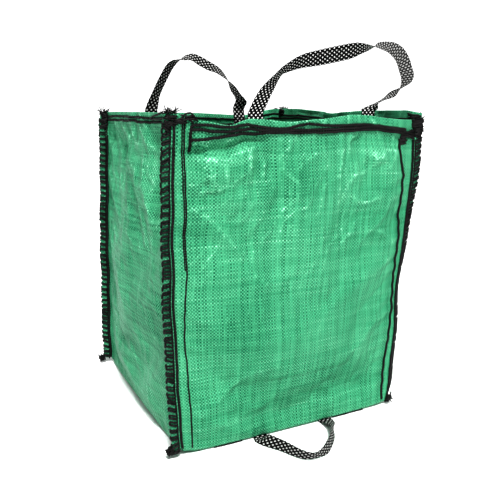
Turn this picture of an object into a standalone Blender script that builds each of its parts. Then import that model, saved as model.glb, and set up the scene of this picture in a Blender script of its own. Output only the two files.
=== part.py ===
"""Open-topped square storage bag of woven tape fabric with three webbing handles.

Four hemmed wall panels and a base panel are joined by fin seams. The corner fins point
outward, the base fins are tucked under the bag. Each handle is a loop of webbing that
hinges where it leaves its two sewn tails. Metres, +Z up, front towards -Y, and the origin
is on the floor in the middle of the base.
"""

import math

import bmesh
import bpy
from mathutils import Matrix, Vector

# Driving dimensions of the bag.
WIDTH = 0.400            # between the corner seam lines, along X
DEPTH = 0.400            # between the corner seam lines, along Y
HEIGHT = 0.500           # floor to rim
FABRIC = 0.0010          # thickness of one layer of fabric
GAP = 0.0003             # clearance between touching pieces
CORNER_FIN = 0.017       # corner seam line to the raw edge
BASE_FIN = 0.018         # base seam line to the raw edge
HEM_DEPTH = 0.045        # fabric folded inside at the rim
HEM_SPREAD = 0.0026      # between the middles of the hem's two layers
HEM_END = 0.006          # the hem fold stops this far from the corner

# Thread.
THREAD = 0.0010          # how far a stitch stands off the fabric
BASE_THREAD = 0.0014     # the base seams' threads carry the bag
ROW_WIDTH = 0.0030       # a chain stitch row
OVERLOCK_PITCH = 0.012   # one pair of overlock bars
OVERLOCK_BAR = 0.0045
OVERLOCK_REACH = 0.013   # length of an overlock bar
OVERLOCK_EDGE = 0.0016   # the thread along the raw edge
BASE_OVERLOCK_PITCH = 0.020
TOPSTITCH_INSET = 0.016  # side hem of the front and back panels
HEM_ROWS = {"front": (0.016, 0.027), "back": (0.009, 0.018),
            "left": (0.008, 0.014), "right": (0.013, 0.019)}
BARTACK_HEIGHT = 0.028
BARTACK_WIDTH = 0.021
BARTACK_THICK = 0.0018

# Webbing.
WEB_WIDTH = 0.025
WEB_THICK = 0.0014
TAIL_LENGTH = 0.060
BASE_TAIL_LENGTH = 0.042
BOX_INSET = 0.0035       # from the tail's edges to the stitched box
BOX_DROP = 0.009         # from the rim to the stitched box
BOX_THREAD = 0.0018
FRONT_TAILS_X = (-0.076, 0.120)
BACK_TAILS_X = (-0.104, 0.083)
BASE_TAILS_X = (-0.070, 0.052)
HINGE_RISE = 0.0025      # hinge line above the rim
ROUTE_STEPS = 2          # pieces between two stations of a webbing loop

# Levels and planes that follow from the sizes above.
WALL_FIN_Z = BASE_THREAD + GAP + FABRIC / 2
BASE_FOLD_Z = WALL_FIN_Z + FABRIC + GAP
BASE_RIM_Z = BASE_FOLD_Z + FABRIC + GAP
BASE_FLOOR_Z = FABRIC / 2
BASE_HALF_X = WIDTH / 2 - FABRIC - GAP
BASE_HALF_Y = DEPTH / 2 - FABRIC - GAP
BASE_SAG_INSET = 0.085   # the base lies on the floor inside this border
FIN_END = BASE_FIN + 0.001
SIDE_SEAM_Y = DEPTH / 2 - FABRIC - GAP
STITCH_STEP = FABRIC / 2 + GAP + THREAD / 2
SEAM_FOOT = WALL_FIN_Z + 0.004
TAIL_Y = DEPTH / 2 - HEM_SPREAD - FABRIC / 2 - GAP - WEB_THICK / 2
HINGE_Z = HEIGHT + HINGE_RISE
BASE_HINGE_Y = -DEPTH / 2 - 0.0025

# Webbing loops: x, y, z of the middle of the webbing in millimetres, then the direction
# across it, as degrees turned from +X towards +Y and degrees tipped up. The front loop
# rises from its left tail, leans out, rolls over at the top and falls back to its right tail.
FRONT_LOOP = [
    (-76, -195.9, 504.5, 0, 0), (-75, -195.7, 509, 2, -1), (-60, -196, 536, 12, -5),
    (-42, -199, 559, 43, -6), (-30, -201.5, 568, 52, -22), (-7, -205, 578, 57, -44),
    (21, -211, 584, 54, -57), (63, -221, 593, 51, -56), (79, -224, 597, 52, -38),
    (98, -227, 600, 50, -6), (112, -229, 602, 60, 28), (131, -230, 600, 30, 41),
    (146, -230, 592, 10, 42), (156, -229, 581, 1, 30), (162, -228, 570, -2, 16),
    (168, -226, 559, -1, 8), (168, -221, 547, 18, 8), (154, -212, 534, 66, 18),
    (142, -205, 526, 54, 8), (133, -200.5, 520, 60, 3), (125, -196.5, 513, 110, 0),
    (120.5, -195.7, 508.5, 174, 0), (120, -195.9, 504.5, 180, 0)]
BACK_LOOP = [
    (-104, 195.9, 504.5, 0, 0), (-103, 195.4, 509, 4, -3), (-95, 193, 533, 34, -16),
    (-83, 191, 558, 38, -17), (-68, 189, 584, 42, -18), (-57, 188, 595, 50, -10),
    (-48, 187, 599, 62, 0), (-36, 187, 603, 66, 24), (-20, 187, 605, 60, 36),
    (-2, 187, 597, 44, 40), (19, 187, 587, 40, 34), (35, 188, 580, 44, 20),
    (54, 190, 565, 62, 6), (67, 189, 547, 88, -16), (78, 188, 532, 96, -10),
    (86, 190, 521, 130, 0), (84, 194.5, 511, 168, 0), (83, 195.9, 504.5, 180, 0)]
BASE_LOOP = [
    (-70, -204.5, 1.2, 0, 0), (-71, -209, 2, -3, 5), (-74, -220, 7.5, -25, 38),
    (-74, -234, 11.6, -52, 60), (-61, -259, 12, -78, 62), (-50, -286, 11.8, -95, 58),
    (-39, -300, 11.5, -106, 55), (-23, -302, 11, -132, 50), (-4, -294, 11.2, -152, 53),
    (25, -266, 10.5, -148, 46), (41, -240, 9, -142, 36), (50, -222, 5, -165, 18),
    (52, -209, 2, -178, 4), (52, -204.5, 1.2, -180, 0)]

GREEN = (0.045, 0.43, 0.20, 1.0)
BLACK = (0.012, 0.012, 0.013, 1.0)
CHARCOAL = (0.055, 0.055, 0.055, 1.0)


def clear_scene():
    for item in list(bpy.data.objects):
        bpy.data.objects.remove(item, do_unlink=True)


def make_material(name, colour, roughness):
    material = bpy.data.materials.new(name)
    material.use_nodes = True
    shader = material.node_tree.nodes["Principled BSDF"]
    shader.inputs["Base Color"].default_value = colour
    shader.inputs["Roughness"].default_value = roughness
    shader.inputs["Metallic"].default_value = 0.0
    return material


def add_part(name, data, material):
    """Put a mesh or curve in the bag's collection under its own name."""
    part = bpy.data.objects.new(name, data)
    data.materials.append(material)
    BAG.objects.link(part)
    return part


def add_box(name, low, high, material):
    """A rectangular block between two corners."""
    low, high = Vector(low), Vector(high)
    bm = bmesh.new()
    bmesh.ops.create_cube(bm, size=1.0)
    size = high - low
    bmesh.ops.transform(bm, matrix=Matrix.Diagonal(size.to_4d()), verts=bm.verts)
    mesh = bpy.data.meshes.new(name)
    bm.to_mesh(mesh)
    bm.free()
    part = add_part(name, mesh, material)
    part.location = (low + high) / 2
    return part


def add_sheet(name, bm, thickness, material):
    """Turn an open surface into a closed sheet of an even thickness."""
    mesh = bpy.data.meshes.new(name)
    bmesh.ops.recalc_face_normals(bm, faces=bm.faces)
    bm.to_mesh(mesh)
    bm.free()
    part = add_part(name, mesh, material)
    shell = part.modifiers.new("Thickness", "SOLIDIFY")
    shell.thickness = thickness
    shell.offset = 0.0
    shell.use_even_offset = True
    return part


def add_flat_outline(name, outlines, thickness, material):
    """A flat shape in XY, filled between its outlines."""
    curve = bpy.data.curves.new(name, "CURVE")
    curve.dimensions = "2D"
    curve.fill_mode = "BOTH"
    curve.extrude = thickness / 2
    for outline in outlines:
        spline = curve.splines.new("POLY")
        spline.points.add(len(outline) - 1)
        for point, (x, y) in zip(spline.points, outline):
            point.co = (x, y, 0.0, 1.0)
        spline.use_cyclic_u = True
    return add_part(name, curve, material)


def extrude_edges(bm, edges, move):
    """Extend a surface from some of its edges and return the new far edges."""
    made = bmesh.ops.extrude_edge_only(bm, edges=edges)["geom"]
    verts = [item for item in made if isinstance(item, bmesh.types.BMVert)]
    bmesh.ops.translate(bm, vec=Vector(move), verts=verts)
    far = set(verts)
    return [edge for edge in bm.edges if edge.verts[0] in far and edge.verts[1] in far]


def edges_within(edges, axis, limit):
    """The edges that run along an axis and lie within a limit of its zero."""
    return [edge for edge in edges
            if all(abs(vert.co[axis]) < limit + 1e-6 for vert in edge.verts)]


def wall_panel(name, plan, along, inward, half):
    """A wall with its corner fins, the fin under the base, and the hem folded inside.

    plan is the wall's line seen from above, along is 0 for X and 1 for Y, inward points
    into the bag, and half is half the wall's length between the seam lines.
    """
    bm = bmesh.new()
    verts = [bm.verts.new((x, y, WALL_FIN_Z)) for x, y in plan]
    foot = [bm.edges.new(pair) for pair in zip(verts, verts[1:])]
    rim = extrude_edges(bm, foot, (0, 0, HEIGHT - FABRIC / 2 - WALL_FIN_Z))
    inward = Vector(inward)
    extrude_edges(bm, edges_within(foot, along, half - FIN_END), inward * BASE_FIN)
    fold = extrude_edges(bm, edges_within(rim, along, half - HEM_END), inward * HEM_SPREAD)
    extrude_edges(bm, fold, (0, 0, FABRIC - HEM_DEPTH))
    return add_sheet(name, bm, FABRIC, FABRIC_GREEN)


def make_walls():
    """Front and back panels run straight out into the fins, the side panels turn."""
    half_x = WIDTH / 2
    half_y = DEPTH / 2
    stops = [half_x + CORNER_FIN, half_x, half_x - HEM_END, half_x - FIN_END]
    line = [-stop for stop in stops] + stops[::-1]
    for name, side in (("front_panel", -1), ("back_panel", 1)):
        plan = [(x, side * half_y) for x in line]
        wall_panel(name, plan, 0, (0, -side, 0), half_x)
    stops = [SIDE_SEAM_Y, half_y - HEM_END, half_y - FIN_END]
    line = [-stop for stop in stops] + stops[::-1]
    for name, side in (("left_panel", -1), ("right_panel", 1)):
        fin_x = side * (half_x + CORNER_FIN)
        wall = [(side * half_x, y) for y in line]
        plan = [(fin_x, -SIDE_SEAM_Y)] + wall + [(fin_x, SIDE_SEAM_Y)]
        wall_panel(name, plan, 1, (-side, 0, 0), half_y)


def make_base_panel():
    """The base rides over the fins at its border and lies on the floor in the middle."""
    stops = [BASE_HALF_X, WIDTH / 2 - FIN_END, WIDTH / 2 - BASE_SAG_INSET]
    xs = [-stop for stop in stops] + stops[::-1]
    scale = BASE_HALF_Y / BASE_HALF_X
    sagged = WIDTH / 2 - BASE_SAG_INSET + 1e-6
    bm = bmesh.new()
    grid = []
    for x in xs:
        column = []
        for y in xs:
            on_floor = abs(x) < sagged and abs(y) < sagged
            level = BASE_FLOOR_Z if on_floor else BASE_RIM_Z
            column.append(bm.verts.new((x, y * scale, level)))
        grid.append(column)
    for left, right in zip(grid, grid[1:]):
        for row in range(len(xs) - 1):
            bm.faces.new((left[row], right[row], right[row + 1], left[row + 1]))
    drop = Vector((0, 0, BASE_FOLD_Z - BASE_RIM_Z))
    fold_reach = BASE_FIN - 0.0015
    for along, across in ((0, 1), (1, 0)):
        half = (BASE_HALF_X, BASE_HALF_Y)[across]
        for side in (-1, 1):
            border = [edge for edge in bm.edges
                      if all(abs(vert.co[across] - side * half) < 1e-6 for vert in edge.verts)]
            border = edges_within(border, along, WIDTH / 2 - FIN_END)
            fold = extrude_edges(bm, border, drop)
            inward = Vector((0, 0, 0))
            inward[across] = -side * fold_reach
            extrude_edges(bm, fold, inward)
    return add_sheet("base_panel", bm, FABRIC, FABRIC_GREEN)


def add_comb(name, length, pitch, thickness):
    """One overlocked edge in XY: a thread along Y with bars towards +X."""
    count = int(length // pitch)
    step = length / count
    stops = [-length / 2]
    for bar in range(count):
        middle = (bar + 0.5) * step - length / 2
        stops += [middle - OVERLOCK_BAR / 2, middle + OVERLOCK_BAR / 2]
    stops.append(length / 2)
    bm = bmesh.new()
    verts = [bm.verts.new((0.0, y, 0.0)) for y in stops]
    inner = [bm.edges.new(pair) for pair in zip(verts, verts[1:])]
    extrude_edges(bm, inner, (-OVERLOCK_EDGE, 0, 0))
    extrude_edges(bm, inner[1::2], (OVERLOCK_REACH, 0, 0))
    return add_sheet(name, bm, thickness, THREAD_BLACK)


def add_upright_row(name, x, y, foot, top):
    """A row of chain stitch up the outer face of the front or back panel."""
    add_box(name, (x - ROW_WIDTH / 2, y - THREAD / 2, foot),
            (x + ROW_WIDTH / 2, y + THREAD / 2, top), THREAD_BLACK)


def add_corner_overlock(name, side, y):
    """The overlock along a corner fin's raw edge, its bars pointing back to the seam."""
    seam = add_comb(name, HEIGHT - SEAM_FOOT, OVERLOCK_PITCH, THREAD)
    edge_x = side * (WIDTH / 2 + CORNER_FIN)
    turn = Matrix(((-side, 0, 0), (0, 0, side), (0, 1, 0)))
    place = Matrix.Translation((edge_x, y, (HEIGHT + SEAM_FOOT) / 2))
    seam.matrix_world = place @ turn.to_4x4()


def add_bartack(name, side, front, y):
    """The heavy tack that closes a corner seam at the rim."""
    middle_y = y + front * (THREAD / 2 + GAP + BARTACK_THICK / 2)
    middle_x = side * (WIDTH / 2 + CORNER_FIN + OVERLOCK_EDGE - BARTACK_WIDTH / 2)
    tack = add_box(name,
                   (middle_x - BARTACK_WIDTH / 2, middle_y - BARTACK_THICK / 2,
                    HEIGHT - BARTACK_HEIGHT),
                   (middle_x + BARTACK_WIDTH / 2, middle_y + BARTACK_THICK / 2, HEIGHT),
                   THREAD_BLACK)
    rounding = tack.modifiers.new("Rounding", "BEVEL")
    rounding.width = BARTACK_THICK / 3
    rounding.segments = 2


def make_corner_seams():
    """Overlock, chain stitch, bartack and the side hem's topstitch at each corner."""
    for front, name_y in ((-1, "front"), (1, "back")):
        y = front * (DEPTH / 2 + STITCH_STEP)
        for side, name_x in ((-1, "left"), (1, "right")):
            corner = f"{name_y}_{name_x}"
            add_corner_overlock(f"{corner}_overlock", side, y)
            chain_x = side * (WIDTH / 2 + ROW_WIDTH / 2)
            add_upright_row(f"{corner}_chain_stitch", chain_x, y, SEAM_FOOT, HEIGHT)
            add_bartack(f"{corner}_bartack", side, front, y)
            hem_x = side * (WIDTH / 2 - TOPSTITCH_INSET)
            hem_top = HEIGHT - HEM_ROWS[name_y][1] - 2 * ROW_WIDTH
            add_upright_row(f"{corner}_topstitch", hem_x, y, SEAM_FOOT, hem_top)


def make_hem_rows():
    """Two rows of chain stitch round the rim, one box to a row on each wall."""
    for wall, drops in HEM_ROWS.items():
        along = 0 if wall in ("front", "back") else 1
        side = -1 if wall in ("front", "left") else 1
        half = WIDTH / 2 - HEM_END if along == 0 else DEPTH / 2 - HEM_END
        face = (DEPTH if along == 0 else WIDTH) / 2 + STITCH_STEP
        for level, drop in zip(("upper", "lower"), drops):
            low = Vector((0, 0, HEIGHT - drop - ROW_WIDTH / 2))
            high = Vector((0, 0, HEIGHT - drop + ROW_WIDTH / 2))
            low[along], high[along] = -half, half
            low[1 - along] = side * face - THREAD / 2
            high[1 - along] = side * face + THREAD / 2
            add_box(f"{wall}_hem_stitch_{level}", low, high, THREAD_BLACK)


def base_overlock(name, centre, length, turn):
    """One overlocked base fin, lying on the floor under the bag."""
    seam = add_comb(name, length, BASE_OVERLOCK_PITCH, BASE_THREAD)
    seam.location = (*centre, BASE_THREAD / 2)
    seam.rotation_euler = (0, 0, turn)


def make_base_seams():
    """The front fin's overlock is in three lengths, because two webbing tails cross it."""
    length = WIDTH - 2 * (FIN_END + OVERLOCK_EDGE)
    edge = WIDTH / 2 - BASE_FIN
    base_overlock("base_left_overlock", (-edge, 0), length, math.pi)
    base_overlock("base_right_overlock", (edge, 0), length, 0.0)
    base_overlock("base_back_overlock", (0, edge), length, math.pi / 2)
    room = WEB_WIDTH / 2 + 0.002
    left_tail, right_tail = BASE_TAILS_X
    spans = {"left": (-length / 2, left_tail - room),
             "middle": (left_tail + room, right_tail - room),
             "right": (right_tail + room, length / 2)}
    for part, (start, stop) in spans.items():
        centre = ((start + stop) / 2, -edge)
        base_overlock(f"base_front_overlock_{part}", centre, stop - start, -math.pi / 2)


def stitched_box(name, length, material):
    """A rectangle of stitches, as sewn through a webbing tail, lying in XY."""
    half_x = WEB_WIDTH / 2 - BOX_INSET
    half_y = length / 2
    outlines = []
    for inset in (0.0, BOX_THREAD):
        x, y = half_x - inset, half_y - inset
        outlines.append([(-x, -y), (x, -y), (x, y), (-x, y)])
    return add_flat_outline(name, outlines, THREAD, material)


def make_top_tails(handle, side, tails_x):
    """The two ends of a top handle, sewn over the hem inside the bag."""
    for end, x in zip(("left", "right"), tails_x):
        y = side * TAIL_Y
        add_box(f"{handle}_{end}_tail",
                (x - WEB_WIDTH / 2, y - WEB_THICK / 2, HEIGHT - TAIL_LENGTH),
                (x + WEB_WIDTH / 2, y + WEB_THICK / 2, HEIGHT), WEBBING)
        box_length = TAIL_LENGTH - BOX_INSET - BOX_DROP
        box = stitched_box(f"{handle}_{end}_box_stitch", box_length, THREAD_BLACK)
        box_y = y - side * (WEB_THICK / 2 + GAP + THREAD / 2)
        box.location = (x, box_y, HEIGHT - BOX_DROP - box_length / 2)
        box.rotation_euler = (math.pi / 2, 0, 0)


def make_base_tails():
    """The two ends of the base handle, sewn to the underside behind the front fin."""
    front = -DEPTH / 2
    for end, x in zip(("left", "right"), BASE_TAILS_X):
        add_box(f"base_handle_{end}_tail",
                (x - WEB_WIDTH / 2, front, 0.0),
                (x + WEB_WIDTH / 2, front + BASE_TAIL_LENGTH, WEB_THICK), WEBBING)
        start = front + BASE_FIN + FABRIC / 2 + GAP
        stop = front + BASE_TAIL_LENGTH - BOX_INSET
        box = stitched_box(f"base_handle_{end}_box_stitch", stop - start, THREAD_BLACK)
        box.location = (x, (start + stop) / 2, WEB_THICK + GAP + THREAD / 2)


def blend_values(before, start, stop, after, part):
    """A value on the smooth curve from start to stop that also suits its neighbours."""
    square, cube = part * part, part ** 3
    return 0.5 * ((2 * start) + (stop - before) * part
                  + (2 * before - 5 * start + 4 * stop - after) * square
                  + (3 * start - before - 3 * stop + after) * cube)


def web_edges(station):
    """The two edges of the webbing at a station, in metres."""
    x, y, z, turn, tip = station
    turn, tip = math.radians(turn), math.radians(tip)
    across = Vector((math.cos(turn) * math.cos(tip), math.sin(turn) * math.cos(tip), math.sin(tip)))
    centre = Vector((x, y, z)) / 1000
    return centre - across * WEB_WIDTH / 2, centre + across * WEB_WIDTH / 2


def make_loop(name, stations, hinge):
    """A loop of webbing through its stations, with its origin on the hinge line."""
    rows = []
    last = len(stations) - 1
    for index in range(last):
        four = [stations[min(max(index + shift, 0), last)] for shift in (-1, 0, 1, 2)]
        for step in range(ROUTE_STEPS):
            part = step / ROUTE_STEPS
            rows.append([blend_values(*values, part) for values in zip(*four)])
    rows.append(stations[last])
    hinge = Vector(hinge)
    bm = bmesh.new()
    edges = []
    for row in rows:
        edges.append([bm.verts.new(point - hinge) for point in web_edges(row)])
    for (a, b), (c, d) in zip(edges, edges[1:]):
        bm.faces.new((a, b, d, c))
    part = add_sheet(name, bm, WEB_THICK, WEBBING)
    part.location = hinge
    return part


clear_scene()
BAG = bpy.data.collections.new("rope_storage_bag")
bpy.context.scene.collection.children.link(BAG)
FABRIC_GREEN = make_material("woven_green", GREEN, 0.45)
THREAD_BLACK = make_material("black_thread", BLACK, 0.70)
WEBBING = make_material("black_webbing", CHARCOAL, 0.60)

make_walls()
make_base_panel()
make_corner_seams()
make_hem_rows()
make_base_seams()
make_top_tails("front_handle", -1, FRONT_TAILS_X)
make_top_tails("back_handle", 1, BACK_TAILS_X)
make_base_tails()
make_loop("front_handle", FRONT_LOOP, (0, -TAIL_Y, HINGE_Z))
make_loop("back_handle", BACK_LOOP, (0, TAIL_Y, HINGE_Z))
make_loop("base_handle", BASE_LOOP, (0, BASE_HINGE_Y, WEB_THICK / 2))
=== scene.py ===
"""Rope storage bag: the visual model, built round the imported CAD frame.

Every wall is one smooth surface function, wall.on(s, z, lift): s runs along the wall in flat metres
(beyond the seams it runs out along the corner fins), z is the height, and lift is the distance out of
the cloth. The cloth, its hems and all the stitching are laid on that same surface.
"""

import math
import random

import bpy
import numpy as np
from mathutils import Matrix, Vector


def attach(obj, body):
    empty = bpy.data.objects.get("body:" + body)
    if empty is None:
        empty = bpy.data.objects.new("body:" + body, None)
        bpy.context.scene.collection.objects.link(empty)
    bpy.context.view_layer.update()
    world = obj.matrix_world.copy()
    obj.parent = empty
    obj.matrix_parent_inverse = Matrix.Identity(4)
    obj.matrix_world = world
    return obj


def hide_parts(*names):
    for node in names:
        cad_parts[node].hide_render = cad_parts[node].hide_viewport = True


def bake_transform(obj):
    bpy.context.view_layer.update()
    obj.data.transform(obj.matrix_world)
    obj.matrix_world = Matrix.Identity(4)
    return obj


MM = 0.001

# The bag, in metres, as in the CAD.
HALF = 0.200  # from the middle to a seam
TOP = 0.500  # nominal height of the rim
FIN = 0.0155  # how far the corner fins stand out
BASE_FIN = 0.018  # how far the bottom fins are tucked under
HEM = 0.045  # depth of the folded rim
CLOTH = 0.0005  # thickness of the woven cloth
TURN = 0.004  # half the length over which a side wall turns out into its fin
FOOT = 0.0075  # radius of the bottom edge
FLOOR_GAP = 0.0009  # height of the tucked-under cloth above the floor
RIM_ROLL = 0.0011  # radius of the rim's fold
BASE_BORDER = 0.0037  # height of the base's cloth where it lies on the tucked-under fins
BASE_FOLD = 0.0006  # radius of the fold round the base's border
BASE_SIDE = 60  # mesh points along a side of the base
MESH_STEP = 0.0035  # mesh spacing of a wall
HEM_MESH_STEP = 0.0016  # and of its rows near the rim
TAPE = 0.0025  # width of one woven tape

# Unevenness of the walls: height and wavelength in metres.
WAVES = (0.0042, 0.16)
CREASES = (0.0046, 0.11)
FINE_CREASES = (0.0016, 0.045)
PUCKERS = (0.0036, 0.026)  # along the seams

# Yarns, radius in metres.
OVERLOCK_YARN = 0.0015
NEEDLE_YARN = 0.0008
CHAIN_YARN = 0.0013
HEM_YARN = 0.0012
FRAY_YARN = 0.0006
BOX_YARN = 0.0006

# Stitching: widths, lengths and pitches in metres.
CHAIN_WIDTH, CHAIN_PITCH = 0.0024, 0.0085
TOPSTITCH_PITCH = 0.0075
HEM_PITCH = 0.0080
KNOT_SIZE, KNOT_STRANDS = 0.011, 13  # at the foot of each corner seam
FRAY_LENGTH, FRAY_COUNT = 0.011, 38  # loose ends at each corner of the rim
BOX_HALF = 0.009  # half the width of a box of stitches
STITCH = 0.0035  # one stitch of such a box, and the gap to the next
STITCH_GAP = 0.0012

# Webbing.
WEB_WIDTH = 0.025
WEB_THICK = 0.0014
WEB_STEP = 0.0012
FLECK_ROW = 0.00365  # distance between two rows of pale flecks along the webbing
FLECK_COLUMN = 0.0068  # distance between two flecks of a row
TAIL_DROPS = (0.006, 0.014, 0.024, 0.036, 0.048, 0.060)  # stations of a sewn end below the hinge line
HINGE_Z = TOP + 0.0025  # height of the carry handles' hinge lines
BASE_HANDLE_X = (-0.070, 0.052)

# Seam lines from the floor up: (height, x) in mm.
SEAM_X = {
    "front_left": [(0, -200), (20, -202), (93, -203), (160, -206), (248, -208), (330, -207), (430, -203),
                   (500, -199.5)],
    "front_right": [(0, 178), (40, 183), (117, 190), (172, 187.5), (208, 189.5), (243, 192), (280, 196),
                    (313, 200), (405, 208), (445, 207), (500, 208)],
    "back_left": [(0, -204), (120, -203), (335, -195), (500, -186)],
    "back_right": [(0, 188), (250, 190), (500, 185)],
}
# How far each fin swings towards +Y: (height in mm, degrees).
SWING = {
    "front_left": [(0, 4), (250, 0), (500, 4)],
    "front_right": [(0, 66), (15, 50), (35, 34), (117, 34), (172, 36), (208, 48), (243, 42), (280, 27),
                    (313, 22), (405, 6), (500, 0)],
    "back_left": [(0, 18), (250, 22), (500, 12)],
    "back_right": [(0, 12), (250, 18), (500, 8)],
}
# How far each bottom corner is drawn up off the floor, in mm, and over what length, in metres.
CORNER_LIFT = {"front_left": 5.0, "front_right": 2.5, "back_left": 2.5, "back_right": 2.5}
CORNER_REACH = 0.022
SEAM_Y = {"front_left": -HALF, "front_right": -HALF, "back_left": HALF, "back_right": HALF}

# The rim of each wall: (s, height) in mm.
RIM = {
    "front": [(-217, 507), (-206, 511), (-196, 506), (-180, 498), (-158, 497), (-144, 494), (-131, 491),
              (-117, 490), (-104, 495), (-94, 499), (-69, 498), (-47, 495), (-24, 493), (-4, 495),
              (31, 498), (52, 500), (76, 503), (105, 502), (124, 500), (144, 497), (174, 494), (217, 493)],
    "left": [(-217, 501), (-158, 503), (20, 506), (143, 507), (190, 505), (206, 510), (217, 506)],
    "right": [(-217, 503), (-186, 508), (-135, 507), (-79, 506), (-18, 502), (8, 499), (68, 503), (145, 506),
              (217, 505)],
    "back": [(-217, 503), (-176, 505), (-100, 492), (1, 498), (44, 499), (190, 501), (217, 501)],
}

# How far the hem leans out of the wall: (s, mm).
LEAN = {
    "front": [(-200, 0), (-170, 7), (-130, 13), (-95, 5), (-60, 3), (0, 6), (60, 8), (110, 5), (160, 5),
              (200, 0)],
    "left": [(-200, 0), (-120, 3), (0, 5), (100, 2), (200, 0)],
    "right": [(-200, 0), (-120, 4), (-20, -5), (80, 3), (200, 0)],
    "back": [(-200, 0), (-130, 2), (-60, -6), (30, 2), (120, 4), (200, 0)],
}

# How far the middle of each wall stands out: (height, mm).
BULGE = {
    "front": [(0, 2), (60, 8), (160, 13), (300, 13), (420, 9), (470, 3), (500, 0)],
    "left": [(0, 3), (60, 9), (160, 13), (300, 10), (420, 4), (500, 0)],
    "right": [(0, 3), (60, 8), (160, 11), (300, 9), (420, 5), (500, 0)],
    "back": [(0, 2), (60, 8), (160, 13), (300, 12), (420, 7), (500, 0)],
}

# Single folds: the line's (s, height) points, half width and height of the ridge, all in mm.
FOLDS = {
    "front": [
        ([(-192, 455), (-155, 460), (-101, 470), (-50, 471)], 8, -8.0),
        ([(-165, 425), (-120, 438), (-75, 440)], 24, 10.0),
        ([(-80, 466), (-51, 443), (-41, 403), (-46, 360)], 13, -8.0),
        ([(-168, 401), (-127, 408)], 4, 2.6),
        ([(-185, 375), (-156, 381)], 4, 2.4),
        ([(73, 476), (67, 444), (62, 424), (61, 409), (64, 350), (67, 293)], 3.5, -2.6),
        ([(109, 459), (150, 455), (182, 452)], 2.5, -1.3),
        ([(112, 436), (150, 440), (175, 436)], 15, 6.0),
        ([(86, 470), (95, 440), (104, 415)], 13, -6.0),
        ([(-10, 460), (0, 350), (-5, 200)], 40, 4.0),
        ([(-190, 80), (-120, 60), (-60, 90)], 30, 3.0),
        ([(40, 70), (110, 50), (165, 75)], 26, -3.5),
    ],
    "left": [
        ([(-86, 484), (-50, 469), (0, 455)], 9, 3.5),
        ([(-185, 470), (-120, 452), (-30, 430)], 18, -7.0),
        ([(-30, 430), (60, 400), (150, 330)], 28, 9.0),
        ([(100, 480), (130, 400), (150, 300)], 22, -7.0),
        ([(-150, 330), (-60, 250), (20, 120)], 34, 4.0),
    ],
    "right": [
        ([(-150, 470), (-60, 430), (20, 330)], 26, 5.0),
        ([(40, 480), (70, 400), (60, 300)], 20, -4.5),
        ([(-120, 200), (0, 150), (120, 180)], 34, 4.0),
    ],
    "back": [
        ([(-120, 470), (-90, 380), (-110, 280)], 22, -4.5),
        ([(-20, 450), (30, 330), (20, 180)], 32, 5.0),
        ([(100, 470), (130, 400), (120, 320)], 18, -3.5),
        ([(-160, 130), (-40, 90), (80, 120)], 28, -3.5),
    ],
}

# Hem rows: (s, height) in mm. The three of the front run together towards the right.
FRONT_ROWS = {
    "upper": [[(-178, 491), (-158, 492), (-138, 489), (-120, 488), (-95, 491), (-76, 488), (-47, 484),
               (-30, 485), (-18, 488), (1, 491), (31, 488), (60, 487), (100, 488), (125, 486), (155, 482),
               (181, 479)]],
    "lower": [[(-178, 491), (-179, 480), (-178.5, 467), (-178, 456)],
              [(-178, 486), (-158, 485), (-138, 482), (-122, 482), (-104, 484), (-90, 485), (-61, 482),
               (-24, 482), (22, 482), (68, 483), (102, 484), (125, 484), (155, 480), (182, 477)],
              [(-178, 472), (-158, 473), (-139, 475), (-122, 477), (-96, 479), (-76, 478), (-61, 479),
               (-38, 479), (-13, 478), (22, 478), (68, 479), (102, 480), (125, 480), (155, 476), (182, 473)]],
}
ROW_DEPTHS = {"left": (8, 14), "right": (13, 19), "back": (9, 18)}  # below the rim, mm

# Webbing stations, as in the CAD: x, y, z of the middle in mm, degrees that the across direction is
# turned from +X towards +Y, and degrees that it is tipped up.
FRONT_LOOP = [
    (-76, -195.9, 504.5, 0, 0), (-75, -195.7, 509, 2, -1), (-60, -196, 536, 12, -5), (-42, -199, 559, 43, -6),
    (-30, -201.5, 568, 52, -22), (-7, -205, 578, 57, -44), (21, -211, 584, 54, -57), (63, -221, 593, 51, -56),
    (79, -224, 597, 52, -38), (98, -227, 600, 50, -6), (112, -229, 602, 60, 28), (131, -230, 600, 30, 41),
    (146, -230, 592, 10, 42), (156, -229, 581, 1, 30), (162, -228, 570, -2, 16), (168, -226, 559, -1, 8),
    (168, -221, 547, 18, 8), (154, -212, 534, 66, 18), (142, -205, 526, 54, 8), (133, -200.5, 520, 60, 3),
    (125, -196.5, 513, 110, 0), (120.5, -195.7, 508.5, 174, 0), (120, -195.9, 504.5, 180, 0),
]
BACK_LOOP = [
    (-104, 195.9, 504.5, 0, 0), (-103, 195.4, 509, 4, -3), (-95, 193, 533, 34, -16), (-83, 191, 558, 38, -17),
    (-68, 189, 584, 42, -18), (-57, 188, 595, 50, -10), (-48, 187, 599, 62, 0), (-36, 187, 603, 66, 24),
    (-20, 187, 605, 60, 36), (-2, 187, 597, 44, 40), (19, 187, 587, 40, 34), (35, 188, 580, 44, 20),
    (54, 190, 565, 62, 6), (67, 189, 547, 88, -16), (78, 188, 532, 96, -10), (86, 190, 521, 130, 0),
    (84, 194.5, 511, 168, 0), (83, 195.9, 504.5, 180, 0),
]
BASE_LOOP = [
    (-70, -204.5, 1.2, 0, 0), (-71, -209, 2, -3, 5), (-74, -220, 7.5, -25, 38), (-74, -234, 11.6, -52, 60),
    (-61, -259, 12, -78, 62), (-50, -286, 11.8, -95, 58), (-39, -300, 11.5, -106, 55),
    (-23, -302, 11, -132, 50), (-4, -294, 11.2, -152, 53), (25, -266, 10.5, -148, 46),
    (41, -240, 9, -142, 36), (50, -222, 5, -165, 18),
    (52, -209, 2, -178, 4), (52, -204.5, 1.2, -180, 0),
]

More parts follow.
